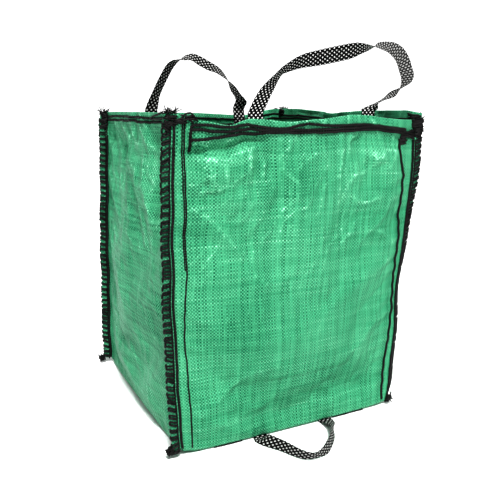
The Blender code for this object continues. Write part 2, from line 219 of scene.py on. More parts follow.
# Carry handles: wall, loop, y of the hinge line, and x of the two sewn ends.
CARRY = (
    ("front", FRONT_LOOP, -0.1959, (-0.076, 0.120)),
    ("back", BACK_LOOP, 0.1959, (-0.104, 0.083)),
)

# The two sides of each corner fin: (wall, sign of s), the end wall first.
FIN_SIDES = {
    "front_left": (("front", -1), ("left", 1)),
    "front_right": (("front", 1), ("right", -1)),
    "back_right": (("back", -1), ("right", 1)),
    "back_left": (("back", 1), ("left", -1)),
}
# Overlock: pitch and gap between the two bars of a loop in metres, and slant of the bars: (height, mm)
OVERLOCK = {
    "front_left": (0.0112, 0.0048, [(0, -6), (22, -5), (45, 2), (160, 3), (230, 0), (330, 0), (420, -2.5),
                                    (500, -2)]),
    "front_right": (0.0112, 0.0052, [(0, 3), (500, 4.5)]),
    "back_left": (0.0102, 0.0030, [(0, 2), (300, 2.5), (500, 1)]),
    "back_right": (0.0112, 0.0046, [(0, -2), (500, -2)]),
}

# The knots at the feet of the seams: distance out from the seam and out of the front or back wall, in metres.
TANGLE_AT = {"front_left": (0.0195, 0.0), "front_right": (0.0010, 0.004), "back_left": (0.0195, 0.0),
             "back_right": (0.0195, 0.0)}

# Topstitch rows: (distance from the wall's middle, height) in mm, yarn radius and row width in metres.
TOPSTITCH = {
    "front_left": [
        ([(187.6, 496), (186, 459), (184.6, 425), (183.4, 391), (182.7, 349), (182.2, 269), (187.4, 187),
          (185.8, 156), (184.4, 107), (184.1, 58), (183.5, 25), (185, 9)], 0.0008, 0.0011),
        ([(190.5, 492), (189, 459), (187.5, 425), (186, 391), (185, 349), (184.2, 290)], 0.0006, 0.0010),
    ],
    "front_right": [
        ([(172.5, 457), (174.8, 430), (177.3, 406), (179.7, 357), (182.3, 328), (183.1, 315), (183.8, 281),
          (186.7, 261), (190.4, 220), (191.2, 194), (189.5, 158), (188, 122),
          (187, 60), (188, 12)], 0.0013, 0.0020),
    ],
    "others": [
        ([(184, 490), (186, 300), (183, 150), (185, 12)], 0.0009, 0.0012),
    ],
}

# Heaps of stitches: wall, s range and height range in mm, number of stitches, and True on the inside.
TACKS = {
    "front_left": [
        ("front", (-216, -196), (492, 504), 9, False),
        ("front", (-202, -184), (496, 502), 4, False),
        ("front", (-188, -176), (496, 504), 4, False),
        ("front", (-216, -206), (484, 500), 6, False),
        ("front", (-214, -184), (496, 505), 8, True),
        ("left", (186, 216), (490, 503), 6, False),
    ],
    "front_right": [
        ("front", (199, 217), (466, 492), 24, False),
        ("front", (174, 203), (464, 478), 14, False),
        ("front", (171, 186), (449, 466), 9, False),
        ("right", (-217, -192), (478, 504), 26, False),
        ("right", (-216, -190), (482, 503), 12, True),
    ],
    "back_left": [
        ("left", (-216, -196), (474, 503), 28, False),
        ("back", (190, 216), (478, 501), 20, False),
        ("back", (180, 200), (484, 498), 8, True),
    ],
    "back_right": [
        ("right", (192, 216), (482, 505), 22, False),
        ("back", (-216, -184), (486, 505), 20, False),
        ("right", (184, 203), (490, 504), 10, True),
    ],
}

# Thick yarn that stands off the cloth in loops: wall, then (s, height, distance from the cloth) in mm.
LOOSE_LOOPS = {
    "front_left": [
        ("left", [(94, 499, 1.5), (112, 502, 2), (134, 505, 2), (152, 508, 2), (166, 504, 3), (172, 497, 2)]),
        ("left", [(98, 497, 1.5), (130, 499, 3), (160, 500, 2.5), (186, 497, 2)]),
        ("front", [(-194, 499, 2), (-187, 506, 3), (-180, 508, 3), (-173, 502, 3), (-170, 497, 2)]),
        ("front", [(-192, 497, 3), (-182, 500, 4), (-172, 499, 3)]),
    ],
}

# Overlock thread round the edges of the tucked-under bottom fins: wall and where it runs, mm.
BASE_OVERLOCK = {
    "base_front_overlock_left": ("front", -179, -85),
    "base_front_overlock_middle": ("front", -55, 37),
    "base_front_overlock_right": ("front", 67, 174),
    "base_back_overlock": ("back", -179, 179),
    "base_left_overlock": ("left", -179, 179),
    "base_right_overlock": ("right", -179, 179),
}
# Where thread shows under the front edge: node and s range in mm.
UNDER_EDGE = {"base_front_overlock_left": (-146, -96), "base_front_overlock_right": (82, 150)}

# The camera, at the photograph's viewing angle.
CAMERA_AZIMUTH = -26.4
CAMERA_PITCH = 13.4
CAMERA_DISTANCE = 1.164
CAMERA_SIDE = 0.011
CAMERA_HEIGHT = 0.257
CAMERA_LENS = 45.8

# Cloth simulation of each wall.
SIM_COLUMNS, SIM_ROWS = 61, 76
SIM_FRAMES = 30
SIM_SPARE = 0.010  # how much bigger the cloth is than the space between its seams
SIM_BENDING = 0.3
SIM_PRESSURE = 0.12
SIM_CAP = 0.014  # the furthest a point may move
SIM_HELD_FOOT = 0.012  # the sheet is held along its seams, its foot and its rim
SIM_HELD_RIM = 0.030

# Light: how much the white backdrop lights the bag, and how bright it is itself.
AMBIENT = 0.30
BACKDROP = 1.0
FLOOR_SIZE = 12.0
SUN_FROM = (-0.15, -0.60, 0.92)
SUN_STRENGTH = 3.6
SUN_ANGLE = 12
FILL_FROM = (0.55, 0.75, 0.70)  # a soft light on the back, which the photograph's side doesn't see
FILL_STRENGTH = 0.7
FILL_ANGLE = 60
GLOSS_FROM, GLOSS_AIM = (-0.9, -1.5, 1.9), (0, -0.1, 0.3)
GLOSS_SIZE, GLOSS_POWER = 0.7, 9

# Colour ramps: (position, colour). The palest green of the cloth is a painted highlight, for its glints.
GREENS_AND_GLINTS = ((0.05, (0.004, 0.075, 0.040)), (0.5, (0.070, 0.335, 0.182)), (0.75, (0.150, 0.47, 0.285)),
          (0.95, (0.380, 0.76, 0.54)))
# the palest black of the yarn is a painted highlight: greyish glints on its fibres
BLACKS_AND_HIGHLIGHTS = ((0.35, (0.0004, 0.0004, 0.0005)), (0.85, (0.026, 0.025, 0.024)))


# ---------------------------------------------------------------- small helpers

def curve_through(table, width):
    """A smooth function through (at, value) pairs in mm, which takes and gives metres."""
    step = 0.001
    at = np.array([row[0] for row in table], float) * MM
    value = np.array([row[1] for row in table], float) * MM
    fine = np.arange(at[0] - 0.05, at[-1] + 0.05, step)
    reach = int(3 * width / step)
    kernel = np.exp(-0.5 * (np.arange(-reach, reach + 1) * step / width) ** 2)
    padded = np.pad(np.interp(fine, at, value), reach, mode="edge")
    smooth = np.convolve(padded, kernel / kernel.sum(), mode="valid")
    return lambda x: np.interp(x, fine, smooth)


def smoothstep(low, high, x):
    t = np.clip((x - low) / (high - low), 0, 1)
    return t * t * (3 - 2 * t)


def ripple(a, b, seed, wavelength, waves=6, stretch=1.0):
    """Smooth noise of about -1 to 1 over two flat coordinates. stretch above 1 draws it out along b."""
    draw = random.Random(seed)
    total = 0.0
    for _ in range(waves):
        angle, phase = draw.uniform(0, math.tau), draw.uniform(0, math.tau)
        k = math.tau / (wavelength * draw.uniform(0.65, 1.5))
        total = total + np.sin(k * (a * math.cos(angle) + b * math.sin(angle) / stretch) + phase)
    return total / math.sqrt(waves) * 0.8


def crumple(a, b, seed, wavelength):
    """Sharp ridges between shallow hollows, as in crisp cloth that has been folded."""
    bent_a = a + 0.25 * wavelength * ripple(a, b, seed + 1, wavelength * 1.7)
    bent_b = b + 0.25 * wavelength * ripple(a, b, seed + 2, wavelength * 1.7)
    wave = ripple(bent_a, bent_b, seed, wavelength, waves=4)
    return 0.5 - np.sqrt(wave * wave + 0.003)


def line_distance(s, z, points):
    """Distance to a polyline, and how far along it from 0 to 1 the nearest point is."""
    best = np.full(np.broadcast(s, z).shape, 1e9)
    along = np.zeros_like(best)
    spans = [math.dist(p, q) for p, q in zip(points, points[1:])]
    done = 0.0
    for p, q, span in zip(points, points[1:], spans):
        dx, dz = q[0] - p[0], q[1] - p[1]
        t = np.clip(((s - p[0]) * dx + (z - p[1]) * dz) / (span * span), 0, 1)
        d = np.hypot(s - p[0] - t * dx, z - p[1] - t * dz)
        along = np.where(d < best, (done + t * span) / sum(spans), along)
        best = np.minimum(best, d)
        done += span
    return best, along


def fold_height(s, z, folds):
    """Height of the single folds, each with a rounded section and fading ends."""
    total = 0.0
    for points, width, height in folds:
        d, along = line_distance(s, z, [(p[0] * MM, p[1] * MM) for p in points])
        fade = smoothstep(0, 0.2, along) * smoothstep(0, 0.2, 1 - along)
        total = total + height * MM * (0.25 + 0.75 * fade) * np.exp(-(d / (width * MM)) ** 2)
    return total


def catmull(points, step):
    """Points at about that spacing on a smooth curve through the given ones, of any dimension."""
    p = np.asarray(points, float)
    p = np.vstack([2 * p[0] - p[1], p, 2 * p[-1] - p[-2]])
    out = []
    for i in range(1, len(p) - 2):
        count = max(1, int(np.linalg.norm((p[i + 1] - p[i])[:3]) / step))
        for t in np.arange(count) / count:
            out.append(0.5 * (2 * p[i] + (p[i + 1] - p[i - 1]) * t
                              + (2 * p[i - 1] - 5 * p[i] + 4 * p[i + 1] - p[i + 2]) * t * t
                              + (3 * p[i] - p[i - 1] - 3 * p[i + 1] + p[i + 2]) * t ** 3))
    out.append(p[-2])
    return np.array(out)


def run_along(points):
    """How far along the line each of its points is."""
    return np.concatenate([[0], np.cumsum(np.linalg.norm(np.diff(points, axis=0), axis=1))])


def resample(points, step):
    """The same line with points at an even spacing."""
    p = np.asarray(points, float)
    run = run_along(p)
    at = np.linspace(0, run[-1], max(2, int(run[-1] / step) + 1))
    return np.column_stack([np.interp(at, run, p[:, k]) for k in range(p.shape[1])])


def unit(vectors):
    """The same vectors at length 1."""
    return vectors / np.maximum(np.linalg.norm(vectors, axis=-1, keepdims=True), 1e-12)


def add_object(name, data):
    obj = bpy.data.objects.new(name, data)
    bpy.context.scene.collection.objects.link(obj)
    return obj


def new_piece(name, verts, faces, material, nodes, uv=None, body="bag"):
    """A mesh object that stands for the given CAD nodes and rides on a body, if one is given."""
    mesh = bpy.data.meshes.new(name)
    mesh.from_pydata(np.asarray(verts).tolist(), [], faces)
    mesh.polygons.foreach_set("use_smooth", [True] * len(mesh.polygons))
    if uv is not None:
        layer = mesh.uv_layers.new(name="flat")
        index = np.zeros(len(mesh.loops), int)
        mesh.loops.foreach_get("vertex_index", index)
        layer.data.foreach_set("uv", np.asarray(uv, float)[index].ravel())
    mesh.materials.append(material)
    obj = add_object(name, mesh)
    if body:
        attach(obj, body)
    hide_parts(*nodes)
    return obj


def thicken(obj):
    """Gives a sheet the cloth's thickness."""
    thick = obj.modifiers.new("thickness", "SOLIDIFY")
    thick.thickness, thick.offset = CLOTH, 0


def grid_faces(rows, columns, keep=lambda i, j: True):
    """Quads of a grid of vertices, where keep(row, column) is true."""
    return [(a, a + 1, a + columns + 1, a + columns)
            for i in range(rows - 1) for j in range(columns - 1) if keep(i, j)
            for a in [i * columns + j]]


def tube_faces(rings, sides, base=0, far_end=True):
    """Quads between neighbouring rings of vertices, and a face at each end."""
    faces = []
    for i in range(rings - 1):
        for k in range(sides):
            a, b = base + i * sides + k, base + i * sides + (k + 1) % sides
            faces.append((a, b, b + sides, a + sides))
    faces.append(tuple(base + k for k in reversed(range(sides))))
    if far_end:
        faces.append(tuple(base + (rings - 1) * sides + k for k in range(sides)))
    return faces


# ---------------------------------------------------------------- the walls

def seam(corner, z):
    """Where a corner seam is at a height, as x and y arrays."""
    seed = sorted(SEAM_X).index(corner) * 10
    x = SEAM_CURVES[corner](z) + 0.0010 * ripple(z, 0 * z, seed + 3, 0.09)
    y = SEAM_Y[corner] + 0.0010 * ripple(z, 0 * z, seed + 5, 0.11)
    return x, y


def fin_direction(corner, z):
    """The horizontal direction in which a fin stands out: swung towards +Y, and wavering a little."""
    seed = sorted(SEAM_X).index(corner) * 10
    swing = np.radians(FIN_SWING[corner](z) / MM) + 0.14 * ripple(z, 0 * z, seed + 7, 0.13)
    side = -1 if "left" in corner else 1
    return side * np.cos(swing), np.sin(swing)


class Wall:
    """One wall from its left seam to its right seam, as seen from outside."""

    def __init__(self, name, left, right, seed):
        self.name, self.left, self.right, self.seed = name, left, right, seed
        self.is_side = name in ("left", "right")
        self.rim = curve_through(RIM[name], 0.006)
        self.lean = curve_through(LEAN[name], 0.012)
        self.bulge = curve_through(BULGE[name], 0.020)
        self.dent = None  # what the cloth simulation adds, as a function of (s, z)

    def raised(self, s, z):
        """Height of a point once the rim's waves and the lifted bottom corners are in."""
        corners = 0.0
        for corner, away in ((self.left, s + HALF), (self.right, HALF - s)):
            corners = corners + CORNER_LIFT[corner] * np.exp(-(np.maximum(away, 0) / CORNER_REACH) ** 2)
        waves = (self.rim(s) - TOP) * smoothstep(0.36, TOP, z)
        return z + waves + corners * MM * (1 - smoothstep(0, 0.06, z))

    def flat_height(self, s, height):
        """The z that raised() turns into this height."""
        z = np.array(height, float)
        for _ in range(4):
            z = z - (self.raised(s, z) - height)
        return z

    def out_of_wall(self, s, z):
        """How far the cloth stands out of the flat plane between the two seams."""
        inset = HALF - np.abs(s)
        dome = 1 - np.clip(np.abs(s) / HALF, 0, 1) ** 2.6
        near = smoothstep(0, 0.045, inset)  # the seams hold the cloth flat
        held = near * smoothstep(0.0, 0.04, z)
        out = self.bulge(z) * dome
        out = out + self.lean(s) * smoothstep(0.455, 0.497, z)
        rough = 0.35 + 0.65 * smoothstep(0.20, 0.38, z)  # the cloth is more crumpled towards the rim
        out = out + held * (WAVES[0] * ripple(s, z, self.seed, WAVES[1], stretch=1.4)
                            + rough * CREASES[0] * crumple(s, z, self.seed + 20, CREASES[1])
                            + rough * FINE_CREASES[0] * crumple(s, z, self.seed + 40, FINE_CREASES[1]))
        pucker = np.exp(-(inset / 0.030) ** 2) * near
        out = out + PUCKERS[0] * pucker * ripple(z + 0.5 * inset, 0 * z, self.seed + 60, PUCKERS[1])
        return out + fold_height(s, z, FOLDS[self.name]) * smoothstep(0, 0.012, inset)

    def crease_whitening_and_glint(self, s, z):
        """How sharply the cloth is folded outwards, 0 to 1. The tapes are painted pale there: partly the
        whitening of creased plastic tape, and partly a painted highlight on the ridges.
        """
        step = 0.004
        around = sum(self.out_of_wall(s + ds, z + dz)
                     for ds, dz in ((step, 0), (-step, 0), (0, step), (0, -step)))
        bend = self.out_of_wall(s, z) - around / 4
        return np.clip((bend - 0.00008) / 0.00035, 0, 1) * (np.abs(s) < HALF - 0.002)

    def flat_part(self, s, z):
        """The wall between its seams."""
        x0, y0 = seam(self.left, z)
        x1, y1 = seam(self.right, z)
        share = (s + HALF) / (2 * HALF)
        length = np.hypot(x1 - x0, y1 - y0)
        nx, ny = (y1 - y0) / length, -(x1 - x0) / length
        out = self.out_of_wall(s, z)
        p = np.stack([x0 + (x1 - x0) * share + nx * out, y0 + (y1 - y0) * share + ny * out,
                      self.raised(s, z) + 0 * out], -1)
        return p if self.dent is None else p + self.dent(s, z)

    def fin_part(self, s, z, reach):
        """The fin beyond the seam on that side, at a distance out from the seam."""
        left, right = (seam(corner, z) + fin_direction(corner, z) for corner in (self.left, self.right))
        x, y, dx, dy = (np.where(s > 0, b, a) for a, b in zip(left, right))
        # this sheet's own outer side in the fin: the end walls outwards, the side walls inwards
        facing = np.sign(y) * (-1 if self.is_side else 1)
        rest = 0.0006 * smoothstep(0, TURN, reach)
        return np.stack([x + dx * reach, y + dy * reach + facing * rest, self.raised(s, z) + 0 * x], -1)

    def surface(self, s, z):
        """Points on the cloth's middle surface. The side walls turn out into their fins in a curve."""
        s, z = np.broadcast_arrays(np.asarray(s, float), np.asarray(z, float))
        beyond = np.abs(s) - HALF
        wall = self.flat_part(np.clip(s, -HALF, HALF), z)
        fin = self.fin_part(s, z, np.maximum(beyond, 0))
        if not self.is_side:
            return np.where((beyond > 0)[..., None], fin, wall)
        start = self.flat_part(np.where(s < 0, -1.0, 1.0) * (HALF - TURN), z)
        corner = self.fin_part(s, z, 0 * s)
        end = self.fin_part(s, z, TURN + 0 * s)
        t = np.clip((beyond + TURN) / (2 * TURN), 0, 1)[..., None]
        turn = (1 - t) ** 2 * start + 2 * t * (1 - t) * corner + t * t * end
        return np.where((beyond > TURN)[..., None], fin, np.where((beyond < -TURN)[..., None], wall, turn))

    def on(self, s, z, lift=0.0):
        """Points at that distance out of the cloth's middle surface."""
        s, z, lift = np.broadcast_arrays(*(np.asarray(v, float) for v in (s, z, lift)))
        step = 0.0008
        along = self.surface(s + step, z) - self.surface(s - step, z)
        up = self.surface(s, z + step) - self.surface(s, z - step)
        return self.surface(s, z) + unit(np.cross(along, up)) * lift[..., None]


def simulate(wall):
    """Lets a slightly oversized sheet settle between the wall's seams, and keeps its moves as the dent."""
    s_grid, z_grid = np.meshgrid(np.linspace(-HALF, HALF, SIM_COLUMNS), np.linspace(0.0, TOP, SIM_ROWS))
    start = wall.surface(s_grid, z_grid).reshape(-1, 3)
    mesh = bpy.data.meshes.new("sim")
    mesh.from_pydata(start.tolist(), [], grid_faces(SIM_ROWS, SIM_COLUMNS))
    obj = add_object("sim", mesh)
    held = (np.abs(s_grid) > HALF - 1e-6) | (z_grid < SIM_HELD_FOOT) | (z_grid > TOP - SIM_HELD_RIM)
    obj.vertex_groups.new(name="held").add(np.flatnonzero(held).tolist(), 1.0, "REPLACE")
    cloth = obj.modifiers.new("cloth", "CLOTH")
    settings = cloth.settings
    settings.quality, settings.mass, settings.air_damping = 6, 0.15, 2.0
    settings.tension_stiffness = settings.compression_stiffness = 40
    settings.shear_stiffness, settings.bending_stiffness = 20, SIM_BENDING
    settings.tension_damping = settings.compression_damping = 20
    settings.shrink_min = settings.shrink_max = -SIM_SPARE
    settings.vertex_group_mass = "held"
    settings.use_pressure, settings.uniform_pressure_force = True, SIM_PRESSURE
    settings.effector_weights.gravity = 0.05
    cloth.collision_settings.use_collision = False
    cloth.collision_settings.use_self_collision = False
    cloth.point_cache.frame_start, cloth.point_cache.frame_end = 1, SIM_FRAMES
    scene = bpy.context.scene
    for number in range(1, SIM_FRAMES + 1):
        scene.frame_set(number)
    settled = obj.evaluated_get(bpy.context.evaluated_depsgraph_get()).data
    end = np.empty(len(settled.vertices) * 3)
    settled.vertices.foreach_get("co", end)
    move = end.reshape(-1, 3) - start
    size = np.linalg.norm(move, axis=1, keepdims=True)
    move *= np.minimum(1, SIM_CAP / np.maximum(size, 1e-9))
    bpy.data.objects.remove(obj)
    scene.frame_set(1)
    wall.dent = grid_sampler(move.reshape(SIM_ROWS, SIM_COLUMNS, 3))


def grid_sampler(grid):
    """A smooth function of (s, z) through values on a regular grid over the wall."""
    rows, columns = grid.shape[:2]
    padded = np.pad(grid, ((1, 1), (1, 1), (0, 0)), mode="edge")

    def weights(t):
        return np.stack([((-t + 2) * t - 1) * t, (3 * t - 5) * t * t + 2, ((-3 * t + 4) * t + 1) * t,
                         (t - 1) * t * t], 0) / 2

    def sample(s, z):
        a = np.clip((s + HALF) / (2 * HALF), 0, 1) * (columns - 1)
        b = np.clip(z / TOP, 0, 1) * (rows - 1)
        i, j = np.minimum(a.astype(int), columns - 2), np.minimum(b.astype(int), rows - 2)
        wa, wb = weights(a - i), weights(b - j)
        return sum((wb[m] * wa[n])[..., None] * padded[j + m, i + n] for m in range(4) for n in range(4))

    return sample


def wall_columns():
    """Where the columns of a wall's mesh are: close together in the fins and at the seams."""
    fin = np.linspace(-HALF - FIN, -HALF - TURN, 5)
    turn = np.linspace(-HALF - TURN, -HALF + TURN, 9)[1:]
    body = np.arange(-HALF + TURN + MESH_STEP, 0, MESH_STEP)
    half = np.concatenate([fin, turn, body])
    return np.concatenate([half, [0.0], -half[::-1]])


def wall_rows():
    """The rows of a wall's mesh from the tucked-under edge to the hem's inner edge: z, lift, flat height."""
    rows = []
    flat = -FOOT * math.pi / 2 - (BASE_FIN - FOOT)
    for reach in np.linspace(BASE_FIN, FOOT, 5)[:-1]:
        rows.append((FLOOR_GAP, -reach, flat + BASE_FIN - reach))
    for angle in np.linspace(math.pi / 2, 0, 8)[:-1]:
        rows.append((FLOOR_GAP + FOOT * (1 - math.sin(angle)), -FOOT * (1 - math.cos(angle)), -FOOT * angle))
    for z in np.concatenate([np.arange(FLOOR_GAP + FOOT, TOP - HEM, MESH_STEP),
                             np.arange(TOP - HEM, TOP - RIM_ROLL, HEM_MESH_STEP)]):
        rows.append((z, 0.0, z - FLOOR_GAP - FOOT))
    over = TOP - RIM_ROLL - FLOOR_GAP - FOOT
    for angle in np.linspace(0, math.pi, 7):
        rows.append((TOP - RIM_ROLL + RIM_ROLL * math.sin(angle), -RIM_ROLL * (1 - math.cos(angle)),
                     over + RIM_ROLL * angle))
    over += RIM_ROLL * math.pi
    for drop in np.arange(0.003, HEM, 0.003):
        rows.append((TOP - RIM_ROLL - drop, -2 * RIM_ROLL, over + drop))
    return [np.array(column) for column in zip(*rows)]


def hem_gap(s, z):
    """How far the hem's inner layer hangs away from the wall."""
    return 0.0010 * (1 + ripple(s, z, 77, 0.06)) * smoothstep(TOP - 0.026, TOP - HEM, z)


def build_wall(wall, material):
    columns, (z, lift, flat) = wall_columns(), wall_rows()
    s_grid, z_grid = np.meshgrid(columns, z)
    lift_grid, flat_grid = (np.repeat(v[:, None], len(columns), 1) for v in (lift, flat))
    low, high = z_grid < 0.1, z_grid > 0.4
    inner = (lift_grid < -1.99 * RIM_ROLL) & high
    in_fin = np.abs(s_grid) > HALF + TURN
    # the four layers lie closer together in the fins than in the hem
    lift_grid = np.where(in_fin & (lift_grid < 0) & high, lift_grid * 0.25, lift_grid)
    lift_grid = np.where(inner & ~in_fin, lift_grid - hem_gap(s_grid, z_grid), lift_grid)
    # the tucked-under cloth is mitred at the corners
    depth = np.where(low, np.maximum(-lift_grid, 0), 0)
    s_used = np.where(depth > 0, s_grid * (HALF - depth) / HALF, s_grid)
    # the foot of a fin is rounded
    reach = np.clip((np.abs(s_grid) - HALF) / FIN, 0, 1)
    z_used = np.where(reach > 0, np.maximum(z_grid, 0.010 * reach ** 2 + 0.002), z_grid)
    points = wall.on(s_used, z_used, lift_grid)
    on_floor = wall.raised(s_used, np.maximum(z_grid, FLOOR_GAP))
    points[..., 2] = np.where(low & (reach == 0), on_floor, points[..., 2])
    outside = np.abs(columns) > HALF + 1e-6

    def keep(i, j):  # the part that is tucked under the base has no fins
        return not ((lift[i] < -1e-9 and z[i] < 0.1) and (outside[j] or outside[j + 1]))

    faces = grid_faces(len(z), len(columns), keep)
    used = sorted({v for face in faces for v in face})
    place = {v: k for k, v in enumerate(used)}
    faces = [tuple(place[v] for v in face) for face in faces]
    run, rise = s_grid + wall.seed * 0.37, flat_grid + 0.2
    uv = np.stack([rise, run] if wall.is_side else [run, rise], -1).reshape(-1, 2)[used]
    obj = new_piece(wall.name + "_panel_cloth", points.reshape(-1, 3)[used], faces, material,
                    [wall.name + "_panel"], uv)
    # where the folds are painted pale: partly real whitening of the tape, partly a painted highlight
    crease_and_glint_layer = obj.data.attributes.new("crease_and_glint", "FLOAT", "POINT")
    crease_and_glint_layer.data.foreach_set("value", wall.crease_whitening_and_glint(s_grid, z_grid).ravel()[used].astype(np.float32))
    thicken(obj)


def corner_rise(x, y):
    """How far the lifted bottom corners raise the base."""
    total = 0.0
    for corner, lift in CORNER_LIFT.items():
        away = np.hypot(x - SEAM_X[corner][0][1] * MM, y - SEAM_Y[corner])
        total = total + lift * MM * np.exp(-(away / (1.2 * CORNER_REACH)) ** 2)
    return total


def base_height(x, y, inset):
    """Height of the base's cloth: up on the tucked-under fins at its border, down on the floor inside."""
    wrinkle = 0.0010 * (1 + ripple(x, y, 91, 0.09)) + 0.0006 * (1 + crumple(x, y, 93, 0.06))
    z = BASE_BORDER + (0.0006 + wrinkle - BASE_BORDER) * smoothstep(0.018, 0.075, inset)
    return z + corner_rise(x, y)


def build_base(material):
    """The base: it rests on the tucked-under fins at its border, sags to the floor, and is folded under."""
    t, one = 2 * np.arange(BASE_SIDE) / BASE_SIDE, np.ones(BASE_SIDE)
    sides = ((-1 + t, -one), (one, -1 + t), (1 - t, one), (-one, 1 - t))
    square = np.concatenate([np.stack(side, -1) for side in sides])
    # rings of vertices from the middle outwards: size, and height where it is given
    rings = [(share, None) for share in np.linspace(0.02, 0.985, 34)]
    rings += [(0.985 + 0.003 * math.sin(a), BASE_BORDER - BASE_FOLD * (1 - math.cos(a)))
              for a in np.linspace(0, math.pi, 6)[1:]]
    rings += [(share, BASE_BORDER - 2 * BASE_FOLD) for share in np.linspace(0.98, 0.90, 5)[1:]]
    corner_x = {name: float(seam(name, np.array(0.0))[0]) for name in SEAM_X}
    verts, uv = [], []
    for share, height in rings:
        a, b = share * square[:, 0], share * square[:, 1]
        x = ((1 - a) * (1 - b) * corner_x["front_left"] + (1 + a) * (1 - b) * corner_x["front_right"]
             + (1 + a) * (1 + b) * corner_x["back_right"] + (1 - a) * (1 + b) * corner_x["back_left"]) / 4
        y = b * HALF
        z = base_height(x, y, (1 - share) * HALF) if height is None else height + corner_rise(x, y)
        verts.append(np.stack([x, y, z], -1))
        uv.append(np.stack([x + 0.11, y + 0.05], -1))
    faces = tube_faces(len(rings), len(square), far_end=False)
    obj = new_piece("base_panel_cloth", np.concatenate(verts), faces, material,
                    ["base_panel"], np.concatenate(uv))
    thicken(obj)


# ---------------------------------------------------------------- yarn

class Yarn:
    """Round strands collected into one mesh."""

    def __init__(self):
        self.verts, self.faces, self.count = [], [], 0

    def strand(self, points, radius, sides=6):
        """A round strand along the points. Its section keeps from twisting as it goes."""
        p = np.asarray(points, float)
        t = unit(np.gradient(p, axis=0))
        n = np.empty_like(p)
        first = np.cross(t[0], (0.31, 0.52, 0.79))
        n[0] = first / np.linalg.norm(first)
        for i in range(1, len(p)):
            v = n[i - 1] - t[i] * (n[i - 1] @ t[i])
            n[i] = v / np.linalg.norm(v)
        b = np.cross(t, n)
        angle = (np.arange(sides) * math.tau / sides)[None, :, None]
        radius = np.broadcast_to(np.asarray(radius, float), (len(p),))[:, None, None]
        ring = p[:, None] + radius * (np.cos(angle) * n[:, None] + np.sin(angle) * b[:, None])
        self.faces += tube_faces(len(p), sides, self.count)
        self.verts.append(ring.reshape(-1, 3))
        self.count += len(p) * sides

    def piece(self, name, material, node):
        new_piece(name, np.concatenate(self.verts), self.faces, material, [node])


def chain_row(yarn, place, line, radius, width, pitch, seed):
    """A chain stitch along a (s, z) line: two strands that wind round each other."""
    draw = random.Random(seed)
    path = resample(line, pitch / 8)
    run = run_along(path)
    direction = unit(np.gradient(path, axis=0))
    across = np.stack([-direction[:, 1], direction[:, 0]], -1)
    loose = 0.25 * radius * ripple(run, 0 * run, seed, 0.02)
    for k in range(2):
        phase = run * math.tau / pitch + k * math.pi + draw.uniform(-0.2, 0.2)
        shift = width / 2 * np.sin(phase) + loose
        high = CLOTH / 2 + radius * (1.0 + 0.55 * np.cos(phase))
        at = path + across * shift[:, None]
        yarn.strand(place(at[:, 0], at[:, 1], high), radius)


def overlock(yarn, sides, top, bottom, pitch, gap, slants, seed):
    """Loops round a fin's edge. sides are two (wall, sign of s) pairs, one for each side of the fin.
    slants says how much higher a loop is at the fin's edge, by height."""
    draw = random.Random(seed)
    inner, edge = 0.0055, FIN + 0.0006
    for side, (wall, sign) in enumerate(sides):
        z = top - side * pitch * 0.5
        while z > bottom + gap:
            jitter = [draw.uniform(-0.0009, 0.0009) for _ in range(4)]
            slant = float(slants(z)) + draw.gauss(0, 0.0008)
            z0, z1 = z + jitter[0], z - gap + jitter[1]
            start, reach = inner + jitter[2], edge + 0.4 * jitter[3]
            # one loop: out along the upper bar, over the fin's edge and back along the lower bar
            r = np.array([start, start + 0.003, reach - 0.003, reach, reach + 0.0005, reach + 0.0005, reach,
                          reach - 0.003, start + 0.003, start])
            zz = np.array([z0, z0 + slant * 0.25, z0 + slant * 0.8, z0 + slant, z0 + slant - 0.0008,
                           z1 + slant + 0.0008, z1 + slant, z1 + slant * 0.8, z1 + slant * 0.25, z1])
            high = np.array([0.0, 1.0, 1.0, 0.8, 0.1, 0.1, 0.8, 1.0, 1.0, 0.0]) * OVERLOCK_YARN + CLOTH / 2
            points = wall.on(sign * (HALF + r), np.maximum(zz, 0.004), high)
            yarn.strand(catmull(points, 0.0016), OVERLOCK_YARN)
            z -= pitch * draw.uniform(0.93, 1.07)
        line = [(sign * (HALF + inner), top), (sign * (HALF + inner), bottom)]
        chain_row(yarn, wall.on, line, NEEDLE_YARN, 0.0014, 0.006, seed + 3 + side)


def tangle(yarn, centre, size, count, seed):
    """A knot of thick yarn, with some ends that stand out of it."""
    draw = random.Random(seed)
    outward = math.copysign(1.0, centre[0])

    def offset(x_low, x_high, y, z_low, z_high, side=1.0):
        return size * np.array([side * draw.uniform(x_low, x_high), draw.uniform(-y, y),
                                draw.uniform(z_low, z_high)])

    for k in range(count):
        points = [centre + offset(-0.5, 0.5, 0.4, -0.6, 0.6) for _ in range(4)]
        if k % 4 == 0:
            points.append(centre + offset(0.6, 1.0, 0.5, -0.8, 0.9, outward))
        path = catmull(points, 0.0015)
        path[:, 2] = np.maximum(path[:, 2], OVERLOCK_YARN)
        yarn.strand(path, OVERLOCK_YARN * draw.uniform(0.6, 0.9))


def fray(yarn, origin, count, length, seed):
    """Loose thread ends round a point, most of them pointing up."""
    draw = random.Random(seed)

    def scatter(x, y, z):
        return np.array([draw.gauss(0, x), draw.gauss(0, y), draw.gauss(0, z)])

    for _ in range(count):
        d = scatter(1.0, 1.0, 0.5) + (0, 0, 0.6)
        d /= np.linalg.norm(d)
        bend = scatter(0.4, 0.4, 0.4)
        size = length * draw.uniform(0.5, 1.1)
        start = origin + scatter(0.004, 0.001, 0.001)
        t = np.linspace(0, 1, 5)[:, None]
        radius = np.linspace(1, 0.5, 5) * FRAY_YARN * draw.uniform(0.8, 1.6)
        yarn.strand(start + size * (d * t + 0.5 * bend * t * t), radius, 5)


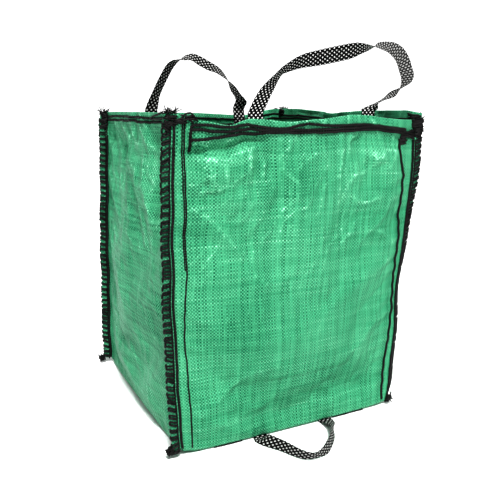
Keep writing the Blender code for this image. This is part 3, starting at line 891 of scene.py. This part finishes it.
def tack(yarn, wall, s_range, z_range, count, inside, seed):
    """A heap of back-and-forth stitches over a patch of a wall or fin. The ranges are in mm."""
    draw = random.Random(seed)
    (s_low, s_high), (z_low, z_high) = [[v * MM for v in r] for r in (s_range, z_range)]
    sign, depth = (-1, 2 * RIM_ROLL) if inside else (1, 0)
    t = np.linspace(0, 1, 6)
    for _ in range(count):
        z0 = draw.uniform(z_low, z_high)
        z1 = min(max(z0 + draw.gauss(0, 0.005), z_low - 0.001), z_high)
        start = s_low + draw.uniform(-0.04, 0.25) * (s_high - s_low)
        end = s_high - draw.uniform(-0.04, 0.25) * (s_high - s_low)
        s = start + (end - start) * t
        z = z0 + (z1 - z0) * t + np.array([draw.gauss(0, 0.0006) for _ in t])
        arch = np.sin(np.pi * (0.12 + 0.76 * t)) ** 0.5
        high = CLOTH / 2 + OVERLOCK_YARN * (0.9 + 2.0 * draw.random()) * arch
        points = wall.on(s, wall.flat_height(s, z), sign * (high + depth))
        yarn.strand(catmull(points, 0.002), OVERLOCK_YARN * draw.uniform(0.8, 1.1))


def box_stitch(name, node, x, low, high, place, material):
    """A box with a cross in it, in separate stitches. place turns x and a height into points in space."""
    yarn = Yarn()
    corners = [(x - BOX_HALF, low), (x + BOX_HALF, low), (x + BOX_HALF, high), (x - BOX_HALF, high)]
    step = 0.0005
    length, pitch = int(STITCH / step), int((STITCH + STITCH_GAP) / step)
    t = np.linspace(0, 1, 40)
    for a, b in ((0, 1), (1, 2), (2, 3), (3, 0), (0, 2), (1, 3)):
        (x0, y0), (x1, y1) = corners[a], corners[b]
        path = resample(place(x0 + (x1 - x0) * t, y0 + (y1 - y0) * t), step)
        for start in range(0, max(1, len(path) - length // 2), pitch):
            part = path[start:start + length + 1]
            if len(part) > 2:
                yarn.strand(part[::2], BOX_YARN)
    yarn.piece(name, material, node)


# ---------------------------------------------------------------- webbing

def ribbon(name, stations, faces, nodes):
    """A flat woven strap through the stations, with rounded, scalloped edges. faces are its two materials."""
    path = catmull(stations, WEB_STEP / MM)
    centre, turn, tip = path[:, :3] * MM, np.radians(path[:, 3]), np.radians(path[:, 4])
    across = np.stack([np.cos(tip) * np.cos(turn), np.cos(tip) * np.sin(turn), np.sin(tip)], -1)
    run = run_along(centre)
    normal = unit(np.cross(across, unit(np.gradient(centre, axis=0))))
    half = WEB_WIDTH / 2 + 0.0004 * np.sin(run * math.tau / (2 * FLECK_ROW))
    share = np.sin(np.linspace(-math.pi / 2, math.pi / 2, 13))
    section = [(u, WEB_THICK / 2 * math.sqrt(max(0, 1 - abs(u) ** 6))) for u in share]
    outline = [(u, h) for u, h in section] + [(u, -h) for u, h in reversed(section[1:-1])]
    ridge = 0.00010 * np.sin(run * math.tau / 0.0024)
    verts, uv = [], []
    for u, h in outline:
        rib = ridge * (1 if h > 0 else -1) * (abs(h) > 1e-6)
        verts.append(centre + across * (u * half)[:, None] + normal * (h + rib)[:, None])
        uv.append(np.stack([np.full(len(run), u * WEB_WIDTH / 2), run], -1))
    count, length = len(outline), len(run)
    obj = new_piece(name, np.stack(verts, 1).reshape(-1, 3), tube_faces(length, count), faces[0],
                    nodes, np.stack(uv, 1).reshape(-1, 2), body=None)
    if faces[1] is not faces[0]:
        obj.data.materials.append(faces[1])
        for face in obj.data.polygons[:(length - 1) * count]:
            face.material_index = int(face.index % count >= count // 2)
    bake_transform(obj)


def tail_stations(wall, x, y_hinge, turn):
    """Where a carry handle's sewn end lies against the inside of its wall, from the hinge line down."""
    stations = []
    sign = 1 if wall.name == "front" else -1
    width = sign * x + np.linspace(-0.014, 0.014, 9)
    for drop in TAIL_DROPS:
        z = HINGE_Z - drop
        inside = wall.on(width, z, -(2 * RIM_ROLL + 0.0016) - hem_gap(width, z))[:, 1]
        furthest_in = inside.max() if sign > 0 else inside.min()
        y = y_hinge + (furthest_in - y_hinge) * smoothstep(0.0, 0.02, drop)
        stations.append((x / MM, float(y) / MM, z / MM, turn, 0))
    return stations

# ---------------------------------------------------------------- materials

class Wire:
    """An output socket that sums, differences and products can be written with, as Math nodes."""

    def __init__(self, shader, socket):
        self.shader, self.socket = shader, socket

    def __add__(self, other):
        return self.shader.math("ADD", self, other)

    def __sub__(self, other):
        return self.shader.math("SUBTRACT", self, other)

    def __rsub__(self, other):
        return self.shader.math("SUBTRACT", other, self)

    def __mul__(self, other):
        return self.shader.math("MULTIPLY", self, other)


class Shader:
    """A material's node tree with short ways to add nodes to it."""

    def __init__(self, name):
        self.material = bpy.data.materials.new(name)
        self.material.use_nodes = True
        self.tree = self.material.node_tree
        self.bsdf = self.tree.nodes["Principled BSDF"]

    def node(self, kind, inputs=(), **settings):
        node = self.tree.nodes.new("ShaderNode" + kind)
        for key, value in settings.items():
            setattr(node, key, value)
        for key, value in dict(inputs).items():
            self.put(node.inputs[key], value)
        return node

    def wire(self, kind, inputs=(), output=0, **settings):
        return Wire(self, self.node(kind, inputs, **settings).outputs[output])

    def put(self, socket, value):
        if isinstance(value, Wire):
            self.tree.links.new(value.socket, socket)
        else:
            socket.default_value = value

    def math(self, operation, a, b=None, c=None, clamp=False):
        inputs = {k: v for k, v in enumerate((a, b, c)) if v is not None}
        return self.wire("Math", inputs, operation=operation, use_clamp=clamp)

    def scaled(self, value, factor, offset):
        return self.math("MULTIPLY_ADD", value, factor, offset)

    def mix(self, factor, a, b):
        return self.wire("Mix", {0: factor, 6: a, 7: b}, 2, data_type="RGBA")

    def range(self, value, low, high, to_low=0.0, to_high=1.0):
        return self.wire("MapRange", {0: value, 1: low, 2: high, 3: to_low, 4: to_high})

    def noise(self, vector, scale, detail=2.0, rough=0.5):
        inputs = {"Vector": vector, "Scale": scale, "Detail": detail, "Roughness": rough}
        return self.wire("TexNoise", inputs)

    def chance(self, index, seed):
        """A random number for each whole index."""
        return self.wire("TexWhiteNoise", {"Vector": self.vector(index, seed)}, noise_dimensions="2D")

    def vector(self, x, y, z=0.0):
        return self.wire("CombineXYZ", {0: x, 1: y, 2: z})

    def flat(self):
        """The flat coordinates of the cloth in metres."""
        parts = self.node("SeparateXYZ", {0: self.wire("UVMap", uv_map="flat")})
        return Wire(self, parts.outputs[0]), Wire(self, parts.outputs[1])

    def ramp(self, value, stops):
        """A colour for the value, from (position, colour) stops."""
        node = self.node("ValToRGB", {0: value})
        first, last = node.color_ramp.elements
        first.position, first.color = stops[0][0], (*stops[0][1], 1)
        last.position, last.color = stops[-1][0], (*stops[-1][1], 1)
        for position, colour in stops[1:-1]:
            node.color_ramp.elements.new(position).color = (*colour, 1)
        return Wire(self, node.outputs[0])

    def finish(self, colour, roughness, specular, bump=()):
        """Sets the surface. bump is (height, distance, strength). Returns the material."""
        self.put(self.bsdf.inputs["Base Color"], colour)
        self.put(self.bsdf.inputs["Roughness"], roughness)
        self.bsdf.inputs["Specular IOR Level"].default_value = specular
        if bump:
            inputs = dict(zip(("Height", "Distance", "Strength"), bump))
            self.put(self.bsdf.inputs["Normal"], self.wire("Bump", inputs))
        return self.material


def fabric_material():
    """Plain weave of flat plastic tapes: each has its own shade of green, and the gaps between them are
    darkened with painted shadow.
    """
    sh = Shader("woven_fabric")
    u, v = sh.flat()
    wu, wv = u * (1 / TAPE), v * (1 / TAPE)
    iu, iv = sh.math("FLOOR", wu), sh.math("FLOOR", wv)
    fu, fv = sh.math("FRACT", wu), sh.math("FRACT", wv)
    over = sh.math("MODULO", sh.math("ABSOLUTE", iu + iv), 2.0)

    def crown(f):  # 0 at a tape's edges, 1 along its middle
        return 1.0 - sh.math("POWER", sh.math("ABSOLUTE", sh.scaled(f, 2.0, -1.0)), 4.0)

    def shade(index, along, seed, spread):  # a random shade for each tape, drifting along it
        drift = sh.noise(sh.vector(index * 7.3, along * 22.0, seed), 1.0, 1.0)
        own = sh.scaled(sh.chance(index, seed), spread, 0.675 - 1.5 * spread)
        return sh.scaled(drift, 2 * spread, own)

    warp, weft = shade(iu, v, 3.0, 0.50), shade(iv, u, 8.0, 0.34)
    top = sh.mix(over, sh.vector(warp, warp, warp), sh.vector(weft, weft, weft))
    top = sh.wire("SeparateXYZ", {0: top})
    rise = over * crown(fv) + (1.0 - over) * crown(fu)
    cross = crown(fu) * crown(fv)
    # a few tapes stand apart, and the wider gap beside them is painted as a dark dotted line of shade
    loose = sh.range(sh.chance(iu, 21.0), 0.80, 0.92)
    beside = loose * sh.range(fu, 0.22, 0.02)
    dotted = beside * sh.range(sh.math("SINE", wv * math.pi), -0.2, 0.8, 0.35, 1.0)
    flat = sh.vector(u, v)
    cloud = sh.noise(flat, 9.0, 3.0, 0.55)
    grain = sh.noise(flat, 900.0, 2.0, 0.6)
    tone = sh.scaled(sh.range(top, 0.35, 1.05), 0.42, sh.scaled(cloud, 0.44, -0.10))
    tone = tone + sh.scaled(grain, 0.24, -0.12)
    # the crossings with the one tape on top are painted lighter than the others: a painted reflection, for
    # warp and weft catching the light differently
    tone = tone + sh.scaled(over, 0.30, -0.02)
    # the sharp outward folds are painted pale, in broken lines: partly the whitening of creased tape, partly
    # a painted highlight on the ridges
    crease_and_glint = sh.wire("Attribute", output="Fac", attribute_name="crease_and_glint")
    broken = crease_and_glint * sh.range(sh.noise(flat, 160.0), 0.40, 0.62)
    tone = sh.scaled(broken, 0.36, tone)
    # painted shadow: the tone falls to half towards the edges of each tape, into the gaps between them
    tone = tone * sh.range(cross, 0.0, 0.55, 0.5, 1.0)
    # painted shade in the wider gaps beside the loose tapes
    tone = sh.math("SUBTRACT", tone, dotted * 0.62, clamp=True)
    roughness = sh.range(top + grain, 0.5, 1.6, 0.52, 0.36)
    return sh.finish(sh.ramp(tone, GREENS_AND_GLINTS), roughness, 0.07, (sh.scaled(grain, 0.25, rise), 0.00030, 0.85))


def thread_material():
    """Thick black sewing yarn: twisted and matt, with greyish fibres painted in as highlights."""
    sh = Shader("thread")
    where = sh.wire("TexCoord", output="Object")
    fibre = sh.noise(where, 900.0, 3.0, 0.65)
    tone = sh.scaled(sh.noise(where, 60.0), 0.35, fibre * 0.7)
    return sh.finish(sh.ramp(tone, BLACKS_AND_HIGHLIGHTS), sh.range(fibre, 0.3, 0.7, 0.7, 0.42), 0.22, (fibre, 0.0004, 0.7))


def webbing_material(name, fleck_width, fleck_length, black, white, grid=1.0):
    """Black webbing with pale flecks in a staggered grid, ribbed across. black and white are grey levels,
    and grid widens the whole pattern."""
    sh = Shader(name)
    u, v = (sh.math("DIVIDE", flat, grid) for flat in sh.flat())
    rows = v * (1 / FLECK_ROW)
    shift = sh.math("MODULO", sh.math("FLOOR", rows), 2.0) * 0.5
    cu = sh.math("FRACT", sh.scaled(u, 1 / FLECK_COLUMN, 20.0) + shift) - 0.5
    cv = sh.math("FRACT", rows) - 0.5
    du, dv = cu * (FLECK_COLUMN / fleck_width), cv * (FLECK_ROW / fleck_length)
    away = sh.math("SQRT", du * du + dv * dv)
    flat = sh.vector(u, v)
    jitter = sh.noise(flat, 1500.0)
    fleck = sh.range(sh.scaled(jitter, 0.16, away), 0.62, 0.50)
    dull = 0.42 * white
    dark = sh.mix(jitter, (black, black, black, 1), (4 * black, 4 * black, 4 * black, 1))
    pale = sh.mix(sh.noise(flat, 120.0), (dull, dull, dull * 0.96, 1), (white, white, white * 0.98, 1))
    ribs = sh.math("SINE", v * (math.tau / FLECK_ROW))
    height = sh.scaled(ribs, 0.25, fleck) + jitter * 0.5
    roughness = sh.range(jitter, 0.2, 0.8, 0.55, 0.75)
    return sh.finish(sh.mix(fleck, dark, pale), roughness, 0.12, (height, 0.00030, 0.9))


def floor_material():
    sh = Shader("floor")
    where = sh.wire("TexCoord", output="Object")
    colour = sh.mix(sh.noise(where, 3.0), (0.88, 0.88, 0.88, 1), (0.90, 0.90, 0.90, 1))
    return sh.finish(colour, 0.9, 0.5)


# ---------------------------------------------------------------- the scene

def build_stage():
    mesh = bpy.data.meshes.new("floor")
    corners = [(x * FLOOR_SIZE, y * FLOOR_SIZE, 0) for x, y in ((-1, -1), (1, -1), (1, 1), (-1, 1))]
    mesh.from_pydata(corners, [], [(0, 1, 2, 3)])
    mesh.materials.append(floor_material())
    add_object("floor", mesh)
    world = bpy.data.worlds.new("studio")
    world.use_nodes = True
    tree = world.node_tree
    tree.nodes["Background"].inputs[0].default_value = (1, 1, 1, 1)
    brightness = tree.nodes.new("ShaderNodeMapRange")  # a white backdrop that lights the bag only softly
    tree.links.new(tree.nodes.new("ShaderNodeLightPath").outputs["Is Camera Ray"], brightness.inputs[0])
    brightness.inputs[3].default_value, brightness.inputs[4].default_value = AMBIENT, BACKDROP
    tree.links.new(brightness.outputs[0], tree.nodes["Background"].inputs[1])
    bpy.context.scene.world = world
    bpy.context.scene.view_settings.view_transform = "Standard"
    bpy.context.scene.view_settings.look = "High Contrast"


def add_disk_light(name, place, aim, size, power):
    light = bpy.data.lights.new(name, "AREA")
    light.shape, light.size, light.energy = "DISK", size, power
    obj = add_object(name, light)
    obj.location = place
    obj.rotation_euler = (Vector(aim) - Vector(place)).to_track_quat("-Z", "Y").to_euler()


def add_sun(name, comes_from, strength, angle):
    light = bpy.data.lights.new(name, "SUN")
    light.energy, light.angle = strength, math.radians(angle)
    add_object(name, light).rotation_euler = Vector(comes_from).to_track_quat("Z", "Y").to_euler()


def add_camera():
    azimuth, pitch = math.radians(CAMERA_AZIMUTH), math.radians(CAMERA_PITCH)
    forward = Vector((-math.sin(azimuth) * math.cos(pitch), math.cos(azimuth) * math.cos(pitch),
                      -math.sin(pitch)))
    target = Vector((CAMERA_SIDE * math.cos(azimuth), CAMERA_SIDE * math.sin(azimuth), CAMERA_HEIGHT))
    camera = add_object("camera", bpy.data.cameras.new("camera"))
    camera.data.sensor_width, camera.data.lens = 36.0, CAMERA_LENS
    camera.location = target - forward * CAMERA_DISTANCE
    camera.rotation_euler = forward.to_track_quat("-Z", "Y").to_euler()
    bpy.context.scene.camera = camera


# ---------------------------------------------------------------- the bag's stitching and handles

def build_corner(walls, corner, index, thread):
    """The thread of one corner fin: overlock, seam, topstitch row, and the tack at the rim."""
    pair = [(walls[name], sign) for name, sign in FIN_SIDES[corner]]
    end_wall, sign = pair[0]

    yarn = Yarn()
    pitch, gap, slants = OVERLOCK[corner]
    overlock(yarn, pair, TOP - 0.012, 0.006, pitch, gap, curve_through(slants, 0.01), 300 + index)
    reach, lift = TANGLE_AT[corner]
    tangle(yarn, end_wall.on(sign * (HALF + reach), 0.009, lift), KNOT_SIZE, KNOT_STRANDS, 320 + index)
    yarn.piece(corner + "_overlock_yarn", thread, corner + "_overlock")

    yarn = Yarn()
    for (wall, side_sign), out in zip(pair, (0.0008, 0.0020)):
        at = side_sign * (HALF + out)
        line = [(at, TOP - 0.004), (at, 0.010)]
        chain_row(yarn, wall.on, line, CHAIN_YARN, CHAIN_WIDTH, CHAIN_PITCH, 340 + index)
    yarn.piece(corner + "_chain_yarn", thread, corner + "_chain_stitch")

    yarn = Yarn()
    for points, radius, width in TOPSTITCH.get(corner, TOPSTITCH["others"]):
        line = catmull([(sign * at * MM, z * MM) for at, z in points], 0.01)
        chain_row(yarn, end_wall.on, line, radius, width, TOPSTITCH_PITCH, 360 + index)
    yarn.piece(corner + "_topstitch_yarn", thread, corner + "_topstitch")

    yarn = Yarn()
    for number, (name, *heap) in enumerate(TACKS[corner]):
        tack(yarn, walls[name], *heap, 400 + 20 * index + number)
    fray(yarn, end_wall.on(sign * (HALF + 0.008), TOP, 0), FRAY_COUNT, FRAY_LENGTH, 500 + index)
    for name, points in LOOSE_LOOPS.get(corner, ()):
        s, z, lift = catmull(np.array(points, float) * MM, 0.003).T
        yarn.strand(walls[name].on(s, walls[name].flat_height(s, z), lift), CHAIN_YARN)
    yarn.piece(corner + "_tack_yarn", thread, corner + "_bartack")


def build_hem_row(wall, level, rank, thread):
    """One row of chain stitch along a rim, on both sides of the hem."""
    yarn = Yarn()
    if wall.name == "front":
        lines = [np.array(row, float) * MM for row in FRONT_ROWS[level]]
    else:
        s = np.linspace(-HALF + 0.004, HALF - 0.004, 40)
        depth = ROW_DEPTHS[wall.name][rank] * MM
        lines = [np.stack([s, wall.rim(s) - depth + 0.0012 * ripple(s, 0 * s, 610 + rank, 0.1)], -1)]

    def outer(s, z, high):
        return wall.on(s, wall.flat_height(s, z), high)

    def inner(s, z, high):
        return wall.on(s, wall.flat_height(s, z), -2 * RIM_ROLL - high)

    thick = 1.1 if wall.name == "front" else 0.85
    for k, line in enumerate(lines):
        line = catmull(line, 0.01)
        chain_row(yarn, outer, line, HEM_YARN * thick, 0.0022, HEM_PITCH, 620 + k + rank)
        chain_row(yarn, inner, line, HEM_YARN * 0.85, 0.0018, HEM_PITCH, 640 + k + rank)
    yarn.piece(f"{wall.name}_hem_{level}_yarn", thread, f"{wall.name}_hem_stitch_{level}")


def build_carry_webbing(wall, loop, y_hinge, ends, faces):
    """A carry handle's webbing from one sewn end to the other."""
    name = wall.name + "_handle"
    left, right = ends
    stations = (tail_stations(wall, left, y_hinge, 0)[::-1] + loop
                + tail_stations(wall, right, y_hinge, 180))
    ribbon(name + "_webbing", stations, faces, [name, name + "_left_tail", name + "_right_tail"])


def build_carry_boxes(wall, y_hinge, ends, thread):
    """The boxes of stitches on a carry handle's sewn ends."""
    name = wall.name + "_handle"
    toward_inside = 1 if wall.name == "front" else -1
    for side, x in zip(("left", "right"), ends):
        tail = np.array(tail_stations(wall, x, y_hinge, 0)[::-1])[:, :3] * MM

        def place(x, z, tail=tail):
            y = np.interp(z, tail[:, 2], tail[:, 1]) + toward_inside * (WEB_THICK / 2 + 0.0004)
            return np.stack([x, y, z], -1)

        box_stitch(f"{name}_{side}_box_yarn", f"{name}_{side}_box_stitch", x, 0.447, 0.488, place, thread)


def build_base_webbing(faces):
    """The pull handle: its ends run under the front edge, and are sewn to the base behind it."""
    left_x, right_x = BASE_HANDLE_X
    tuck = [-204.5 + y / MM for y in (0.0425, 0.030, 0.015, 0.006)]
    left = [(left_x / MM, y, 1.2, 0, 0) for y in tuck]
    right = [(right_x / MM, y, 1.2, -180, 0) for y in reversed(tuck)]
    ribbon("base_handle_webbing", left + BASE_LOOP + right, faces,
           ["base_handle", "base_handle_left_tail", "base_handle_right_tail"])


def build_base_boxes(thread):
    """The boxes of stitches on the pull handle's sewn ends."""
    def place(x, y):
        return np.stack([x, y, base_height(x, y, y + HALF) + 0.0008], -1)

    for side, x in zip(("left", "right"), BASE_HANDLE_X):
        box_stitch(f"base_handle_{side}_box_yarn", f"base_handle_{side}_box_stitch", x, -0.1812, -0.1615,
                   place, thread)


def build_base_overlock(wall, node, start, end, seed, thread):
    """Overlock thread round the edge of a tucked-under bottom fin, and what shows of it at the front."""
    yarn = Yarn()
    # one bar: over the fin, round its edge, and back under it
    reach = np.array([0.0125, 0.0150, 0.0183, 0.0188, 0.0183, 0.0150, 0.0125])
    high = np.array([0.00034, 0.00034, 0.00034, 0.0010, 0.0017, 0.0017, 0.0017])
    for at in np.arange(start, end, 5.5):
        along = (at + 2.5 * np.linspace(-1, 1, 7)) * MM
        mitred = along * (HALF - reach) / HALF
        points = wall.on(mitred, FLOOR_GAP, -reach)
        points[:, 2] = high + wall.raised(mitred, 0 * mitred)
        yarn.strand(points, 0.00032, 5)
    if node in UNDER_EDGE:
        s = np.linspace(*UNDER_EDGE[node], 20) * MM
        line = np.stack([s, 0.0017 + 0.0003 * ripple(s, 0 * s, 700 + seed, 0.02)], -1)

        def under(s, z, high):
            return wall.on(s, z, high - 0.0038)

        chain_row(yarn, under, line, 0.0011, 0.0006, 0.009, 710 + seed)
    yarn.piece(node + "_yarn", thread, node)


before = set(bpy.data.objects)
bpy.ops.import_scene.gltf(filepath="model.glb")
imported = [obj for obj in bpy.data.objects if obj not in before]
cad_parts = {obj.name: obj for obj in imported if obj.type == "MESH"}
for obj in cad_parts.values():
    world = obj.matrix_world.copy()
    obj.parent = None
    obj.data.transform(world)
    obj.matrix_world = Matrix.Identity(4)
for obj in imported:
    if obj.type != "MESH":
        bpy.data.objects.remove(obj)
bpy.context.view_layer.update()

SEAM_CURVES = {name: curve_through(table, 0.02) for name, table in SEAM_X.items()}
FIN_SWING = {name: curve_through(table, 0.015) for name, table in SWING.items()}
walls = {
    "front": Wall("front", "front_left", "front_right", 1),
    "right": Wall("right", "front_right", "back_right", 2),
    "back": Wall("back", "back_right", "back_left", 3),
    "left": Wall("left", "back_left", "front_left", 4),
}
cloth, thread = fabric_material(), thread_material()
webbing = (webbing_material("webbing", 0.0024, 0.0024, 0.0006, 0.95),
           webbing_material("webbing_reverse", 0.0046, 0.0020, 0.010, 0.50))
open_webbing = (webbing_material("webbing_open", 0.0026, 0.0026, 0.0006, 0.72, grid=1.3),) * 2

add_camera()
build_stage()
add_sun("sun", SUN_FROM, SUN_STRENGTH, SUN_ANGLE)
add_sun("fill", FILL_FROM, FILL_STRENGTH, FILL_ANGLE)
add_disk_light("gloss", GLOSS_FROM, GLOSS_AIM, GLOSS_SIZE, GLOSS_POWER)

for wall in walls.values():
    simulate(wall)

build_base(cloth)
for wall in walls.values():
    build_wall(wall, cloth)
for index, corner in enumerate(FIN_SIDES):
    build_corner(walls, corner, index, thread)
for wall in walls.values():
    for rank, level in enumerate(("upper", "lower")):
        build_hem_row(wall, level, rank, thread)
for (name, loop, y_hinge, ends), faces in zip(CARRY, (webbing, open_webbing)):
    build_carry_webbing(walls[name], loop, y_hinge, ends, faces)
build_base_webbing(open_webbing)
for number, (node, (name, start, end)) in enumerate(BASE_OVERLOCK.items()):
    build_base_overlock(walls[name], node, start, end, number, thread)
for name, loop, y_hinge, ends in CARRY:
    build_carry_boxes(walls[name], y_hinge, ends, thread)
build_base_boxes(thread)
